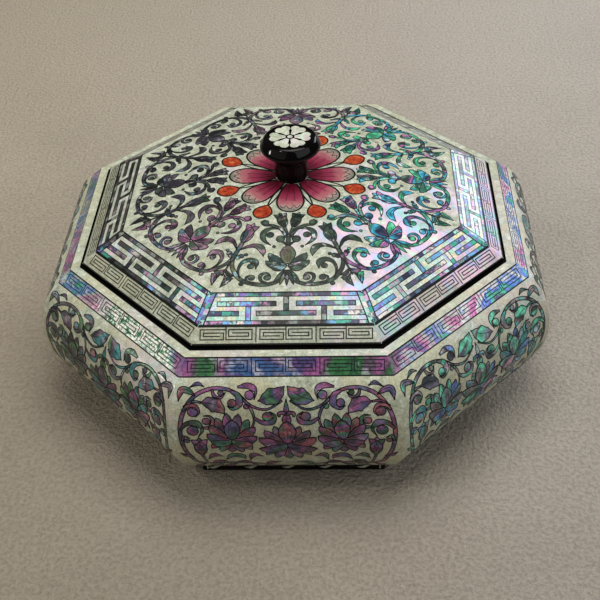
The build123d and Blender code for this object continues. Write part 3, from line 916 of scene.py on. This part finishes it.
SIDE_BLOOM = [
    (30, 0.3, 1.06, 0.34, 0.05), (10, 0.3, 1.12, 0.34, 0.02), (50, 0.2, 0.98, 0.36, 0.08),
    (180, 0, 0.62, 0.38, 0), (150, 0, 0.7, 0.34, -0.08), (122, 0, 0.8, 0.36, -0.1),
    (0, 0.05, 0.86, 0.54, 0), (74, 0.05, 0.86, 0.4, 0.14), (98, 0, 0.7, 0.34, 0.16)]
CENTRE_BLOOM = [
    (28, 0.2, 0.92, 0.32, 0.05), (50, 0.2, 1, 0.36, 0.1), (180, 0.1, 0.92, 0.4, 0),
    (154, 0.1, 0.96, 0.36, -0.05), (130, 0.1, 1, 0.36, -0.08), (0, 0.05, 1.02, 0.62, 0),
    (72, 0.05, 1.02, 0.42, 0.14), (104, 0, 1.02, 0.4, 0.14)]


def side_scrolls():
    """One bulging side's ornament: ring vines, three lotuses, big leaves, curls and a finial."""
    art = Pattern(0.5, 55)
    art.stem([(-50.8, 54), (-54.4, 43), (-55.4, 30.5), (-53.2, 19), (-46.8, 9.6), (-37, 5.6), (-26.8, 7.3),
        (-19.4, 14.2), (-16.6, 22.4), (-19, 30.2)], [1, 1.05, 0.95, 0.75, 0.35])
    art.stem([(-27.4, 7.4), (-22.6, 11), (-16.4, 15.6), (-9.6, 16.8), (-2, 12.2)], [0.8, 0.6, 0.4])
    art.leaf([(-14.2, 12.2), (-9.2, 10.6), (-4.6, 8.2), (-0.7, 4.7)], [3, 4.3, 2.4], [3.4, 4.9, 3.2])
    art.hook([(-24.4, 5), (-19, 4.4), (-15.4, 7), (-16.2, 11.4)], [0.5, 1.4, 1.6, 0.5], (-18.6, 9.2, 1.9))
    art.stem([(-52.4, 15.4), (-48, 12.4), (-43.6, 12.8)], [0.7, 0.5])
    art.leaf([(-43.8, 12.8), (-38.6, 13.2), (-34.4, 15.2), (-31.4, 19.4)], [3.2, 4.2, 2.4], [3, 4.6, 3.2],
        3, 0.14)
    art.hook([(-53.2, 17.2), (-50.4, 14.8), (-46.8, 15), (-44.8, 18), (-46.6, 20.9)], [0.6, 0.9, 1.4, 0.6],
        (-48, 18, 2.2))
    art.hook([(-37.6, 6.2), (-36.4, 9.6), (-33.2, 10.4), (-30.8, 7.8)], [0.5, 0.9, 0.5], (-33.2, 8, 1.2))
    art.hook([(-28, 7), (-24.4, 9.4), (-24, 13.4), (-27, 16.6), (-30, 15)], [0.6, 1.5, 1.9, 0.7],
        (-27.6, 13.4, 1.8))
    art.hook([(-16.6, 21.6), (-12.4, 24.6), (-7.6, 24.2), (-5.8, 20.8), (-8.4, 18.2)], [0.6, 1.2, 1.6, 0.6],
        (-9.8, 21, 2.1))
    art.ball(-20.4, 15.2, 1.4, 1)
    art.hook([(-44, 27.4), (-39.8, 27.6), (-37.6, 24), (-39.4, 20.6), (-42.6, 20.4)], [0.5, 1.2, 1.3, 0.5],
        (-41.4, 23.6, 1.7))
    art.hook([(-55.2, 28.8), (-51.4, 25), (-46.4, 25), (-43.8, 29), (-46.2, 33.8)], [0.6, 1.3, 1.9, 0.7],
        (-48.8, 29.6, 2.5))
    art.hook([(-55.2, 37), (-53.6, 33.4), (-50.8, 34.8)], [0.4, 0.8, 0.4], (-52.4, 36.6, 1.2))
    art.leaf([(-46.2, 9.2), (-49.8, 6.4), (-53.4, 6.2), (-55, 12)], [1.6, 1.9, 1.6], [1, 1.3, 1.4])
    art.leaf([(-49.4, 5.2), (-45, 3.2), (-41.8, 4.6)], [1], [0.9])
    art.stem([(-44, 58), (-45.2, 52.6), (-45.8, 48)], [0.5, 0.7])
    art.bud(-45.6, 48.6, 92, 14.2, 1.1)
    art.bloom(-28.9, 36.4, 15.6, SIDE_BLOOM, 86)
    art.leaf([(-57, 47), (-54, 49.8), (-50.4, 50.4)], [1.6], [1.3])
    art.leaf([(-42.8, 53.8), (-39.4, 49.6), (-35, 50.6)], [2.2], [1.8])
    art.leaf([(-33.6, 55), (-29.6, 50), (-25, 50.6), (-23.2, 54)], [2.2, 2.2], [1.7, 1.9])
    art.leaf([(-20.8, 55.6), (-18.6, 49.4), (-13.8, 50.8)], [2.1], [1.9])
    art.stem([(0, 69), (-9, 66), (-19, 61), (-30, 59.6), (-41, 61), (-48.4, 58.6), (-51, 54)], [0.8, 1, 1])
    art.hook([(-20, 60.8), (-22.6, 57.4), (-26.2, 57.4), (-27.6, 59)], [0.6, 1.1, 0.5], (-24.4, 58.6, 1.2))
    art.hook([(-41, 61), (-38.8, 57), (-35.4, 56), (-33.2, 57.8)], [0.6, 1.1, 0.5], (-36.2, 57.9, 1.2))
    art.leaf([(-11.6, 66), (-9.8, 60), (-4, 58)], [2.3], [2.1])
    art.leaf([(-44.6, 61), (-49, 65.8), (-48.6, 73.6)], [2.4], [2], 3, 0.25)
    art.leaf([(-27.6, 60.6), (-32.8, 66.6), (-31.2, 75.6)], [2.6], [2.5], 3, 0.25)
    art.leaf([(-12.6, 66.2), (-16.6, 72.6), (-13.2, 81)], [2.6], [2.5], 3, 0.25)
    art.hook([(-37.4, 61.4), (-37.6, 66), (-40.8, 68.4), (-43.4, 66.4)], [0.6, 1.3, 0.5], (-40.8, 65.8, 1.5))
    art.hook([(-19.4, 62.4), (-19, 67.6), (-22.2, 70.4), (-25, 68.6)], [0.6, 1.3, 0.5], (-22.4, 67.8, 1.5))
    art.hook([(-3, 68.6), (-3.2, 73.6), (-6.4, 75.8), (-9, 73.8)], [0.6, 1.3, 0.5], (-6.4, 73, 1.4))
    art.mirrored()
    art.bloom(0, 39.4, 15.2, CENTRE_BLOOM)
    art.petal((0, 19.6), (0, 11.4), 2.6, 0, 0.35, 3, sharp=0.9)
    for sign in (-1, 1):
        art.stem([(0, 19.6), (sign * 2, 18.8), (sign * 3.9, 19.4), (sign * 3.6, 21)], [1.1, 0.9, 0.5], 4)
    art.petal((0, 19.4), (0, 27.8), 4.8, 0, 0.45, 4)
    art.petal((0, 69.4), (0, 81), 5.6, 0, 0.5, 3)
    return art


# ---- the flower round the knob ----

PETAL_REACH = -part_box("flower_petals")[0][1] / MM
PETAL_WIDTH = 7.6
PETAL_SHAPE = ((0.4, 0.7), (0.7, 1.0), (0.86, 0.87), (0.94, 0.64), (0.985, 0.32), (1.0, 0.0))
DROP_REACH = 45.2
DROP_LENGTH = 13.0
DROP_WIDTH = 5.2


def flower_lines():
    """Dark outlines round the petals with scalloped tips, drawn on a facet."""
    art = Pattern(0.5, 71)
    half = [(9.2, 0.36), *((part * PETAL_REACH, share) for part, share in PETAL_SHAPE)]
    right = smooth_path([(share * PETAL_WIDTH, reach) for reach, share in half], 3)
    outline = np.concatenate([right, (right * (-1, 1))[::-1][1:]])
    inner, outer = sides_of(outline, [0.55] * len(outline), [0.5] * len(outline))
    art.grid("line", np.stack([inner, outer], 1), 2)
    for aside in (-1, 0, 1):
        foot = PETAL_REACH - 5.4 - abs(aside)
        x = aside * 3.9
        art.line(smooth_path([(x - 1.9, foot), (x, foot + 2.6), (x + 1.9, foot)], 4), 0.4, 2)
    for aside in (-1, 1):
        art.line(smooth_path([(aside * 0.9, 12), (aside * 2.0, 20), (aside * 2.4, 26)], 4), 0.2, 2)
    return art


def drops():
    """Each drop with its dark rim and its stems from the knob, drawn astride a ridge."""
    art = Pattern(0.5, 72)
    point = DROP_REACH - DROP_LENGTH
    share = np.linspace(0.0, 1.0, 15)
    width = DROP_WIDTH * np.sin(math.pi * np.clip(share, 0.004, 0.996) ** 1.2) ** (0.66 - 0.16 * share)
    reach = point + DROP_LENGTH * share
    right, middle = np.stack([width, reach], 1), np.stack([0 * width, reach], 1)
    art.grid("shell", np.stack([right * (-1, 1), middle, right], 1), 0)
    art.line(np.concatenate([right, (right * (-1, 1))[::-1]]), 0.9, 1)
    for aside in (-1, 1):
        path = smooth_path([(aside * 0.3, 14), (aside * 1.3, 21), (aside * 1.1, 27), (aside * 0.3, point)], 4)
        art.line(path, 0.9, 1)
    return art


WAVE = ((-6.5, 1.6), (-3, 1.9), (0, 0), (3, -1.9), (6.5, -1.6))


def plinth_marks():
    """Small waves of shell along the plinth, with a line at each end."""
    art = Pattern(0.2, 91)
    middle = PLINTH.length / 2
    for x in np.arange(-42, 43, 21):
        art.stem([(x + dx, middle + dy) for dx, dy in WAVE], [0.1, 0.8, 0.9, 0.8, 0.1], 0, 4)
    for sign in (-1, 1):
        end = sign * (PLINTH.half_width(middle) - 2.0)
        path = [(end, 1.0), (end, PLINTH.length - 1.0)]
        art.blade(path, [0.35, 0.35], level=0)
    return art


def lid_edge():
    """A black sheet over the lid's upright edge, in the black lacquer material."""
    art = Pattern()
    half = EDGE.half_width(0)
    art.grid("line", [[(-half, 0), (half, 0)], [(-half, EDGE.length), (half, EDGE.length)]], 0)
    return art


# ---- build the ornament ----

# each lid facet's abalone from the front round: painted sheen on the right-hand facets, painted shade on the
# left
FIELD_SHELLS = ("green", "vivid_sheen", "vivid_sheen", "vivid_sheen", "plum", "dark", "dark", "plum")
SIDE_SHELLS = ("rose", "emerald", "olive", "rose", "emerald", "rose", "olive", "olive")
field, ridge, side, band, drop = field_scrolls(), ridge_scrolls(), side_scrolls(), meander(), drops()
edge_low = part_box("lid_rail_1")[0][2] / MM
edge_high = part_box("key_strips")[0][2] / MM + 1.0
edge_apothem = -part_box("lid_rail_1")[0][1] / MM
EDGE = Face([(edge_apothem, edge_high), (edge_apothem, edge_low)])

facet, flank = [(field, FIELD), (ridge, RIDGE)], [(side, BELLY)]
fret, ridge_drops = [(band, FRET)], [(drop, RIDGE)]

for sector in range(SIDES):
    here, number = [sector], sector + 1
    make_piece(f"field_scrolls_{number}", "lid", FIELD_SHELLS[sector], "shell", facet, here)
    make_piece(f"side_scrolls_{number}", "box", SIDE_SHELLS[sector], "shell", flank, here)
    make_lines(f"side_outlines_{number}", "box", flank, here)
    make_lines(f"field_outlines_{number}", "lid", facet, here)

make_piece("plinth_waves", "box", "strip", "shell", [(plinth_marks(), PLINTH)])
make_piece("lid_edge_black", "lid", "wood", "line", [(lid_edge(), EDGE)])
make_piece("meander_pale_blocks", "lid", "pale_block", "pale", fret)
make_piece("meander_dark_blocks", "lid", "dark_block", "dark", fret)
make_lines("meander_outlines", "lid", fret)
make_lines("lid_key_lines", "lid", [(key_lines(KEY, 0.6), KEY)])
make_lines("shoulder_key_lines", "box", [(key_lines(SHOULDER, 0.5), SHOULDER)])
make_lines("flower_outlines", "lid", [(flower_lines(), FIELD), *ridge_drops])
make_piece("drop_faces", "lid", "drop", "shell", ridge_drops)


# ---- stage ----

FLOOR_REACH = 3.0
LIT_POINT = (0, 0, 0.08)

floor_mesh = bpy.data.meshes.new("floor")
corners = [(x * FLOOR_REACH, y * FLOOR_REACH, 0) for x, y in ((-1, -1), (1, -1), (1, 1), (-1, 1))]
floor_mesh.from_pydata(corners, [], [(0, 1, 2, 3)])
floor_mesh.materials.append(MATERIALS["floor"])
floor = add_object("floor", floor_mesh)

# rectangular lamps, all aimed at the box: name, place, size, power in watts, colour
for name, place, size, power, colour in (
        ("overhead", (0.12, 0.13, 1.6), (1.2, 1.0), 20.6, (1.0, 0.985, 0.96)),
        ("window", (1.02, 1.2, 0.66), (0.8, 0.6), 10.0, (0.84, 0.92, 1.0)),
        ("fill_left", (-1.25, -1.0, 1.15), (2.2, 1.5), 5.0, (1.0, 0.92, 0.78)),
        ("fill_right", (1.35, -0.9, 1.35), (2.0, 1.3), 13.5, (0.9, 0.95, 1.0)),
        ("lamp_near", (-1.21, -0.18, 0.46), (0.09, 0.07), 1.4, (1.0, 0.98, 0.95)),
        ("lamp_far", (-0.61, -0.46, 1.14), (0.16, 0.06), 2.0, (1.0, 0.98, 0.95))):
    lamp = bpy.data.lights.new(name, "AREA")
    lamp.shape = "RECTANGLE"
    lamp.size, lamp.size_y = size
    lamp.energy, lamp.color = power, colour
    light = add_object(name, lamp)
    light.location = place
    light.rotation_euler = (Vector(LIT_POINT) - Vector(place)).to_track_quat("-Z", "Y").to_euler()

world = bpy.data.worlds.new("world")
world.use_nodes = True
sky = world.node_tree.nodes["Background"].inputs
sky["Color"].default_value = (0.8, 0.8, 0.78, 1)
sky["Strength"].default_value = 0.045
bpy.context.scene.world = world
bpy.context.scene.view_settings.view_transform = "Standard"
